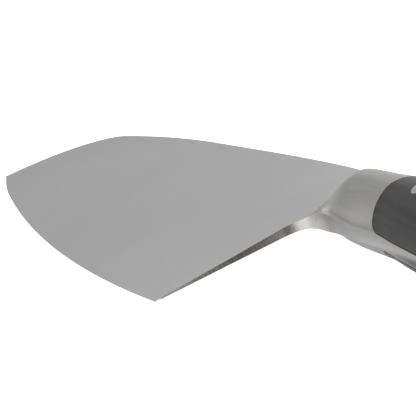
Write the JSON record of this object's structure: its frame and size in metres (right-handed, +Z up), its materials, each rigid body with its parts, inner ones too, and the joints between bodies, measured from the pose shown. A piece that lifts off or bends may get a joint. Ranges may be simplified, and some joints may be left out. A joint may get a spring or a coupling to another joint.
{
  "type": "santoku knife",
  "caption": "Santoku kitchen knife with a flat-ground blade, an angled choil, a full tang, a flared steel bolster and dark riveted handle scales.",
  "frame": {"origin": "middle of the footprint, on the surface that the knife lies on with its right side down", "axes": "+X from the tip to the butt, +Y from the cutting edge to the spine, +Z up, out of the left side of the blade"},
  "size_m": [0.2932, 0.046, 0.017],
  "materials": {
    "blade_steel": "fine satin",
    "bolster_steel": "satin, polished across",
    "scale_laminate": "resin-filled black laminate, satin",
    "rivet_steel": "polished flush"
  },
  "bodies": {
    "root": {"blade": "blade_steel", "bolster_left": "bolster_steel", "bolster_right": "bolster_steel", "scale_left": "scale_laminate", "scale_right": "scale_laminate", "rivet_front_socket": "rivet_steel", "rivet_front_pin": "rivet_steel", "rivet_middle_socket": "rivet_steel", "rivet_middle_pin": "rivet_steel", "rivet_rear_socket": "rivet_steel", "rivet_rear_pin": "rivet_steel"}
  },
  "joints": []
}
